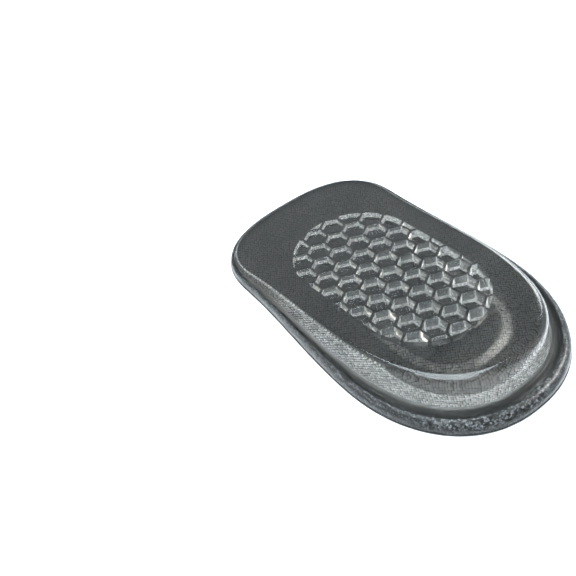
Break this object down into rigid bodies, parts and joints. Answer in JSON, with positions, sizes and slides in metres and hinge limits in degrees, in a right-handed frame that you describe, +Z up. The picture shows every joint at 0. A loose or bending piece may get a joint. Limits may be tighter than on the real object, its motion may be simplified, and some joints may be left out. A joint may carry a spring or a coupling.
{
  "type": "silicone heel lift",
  "caption": "Wedge-shaped clear silicone heel lift with a low rim and a honeycomb-pitted underside, bonded to a black knit cover; raises and cushions the heel inside a shoe.",
  "frame": {"origin": "middle of the base, on the surface that the cover lies on", "axes": "+X from the thin front end to the thick heel end, +Y across, +Z up out of the honeycomb underside as it lies"},
  "size_m": [0.1014, 0.0624, 0.0128],
  "materials": {
    "gel": "clear smoky silicone gel, glossy",
    "knit": "fine black knit, matt with a faint glitter"
  },
  "bodies": {
    "root": {"gel_body": "gel", "fabric_cover": "knit"}
  },
  "joints": []
}
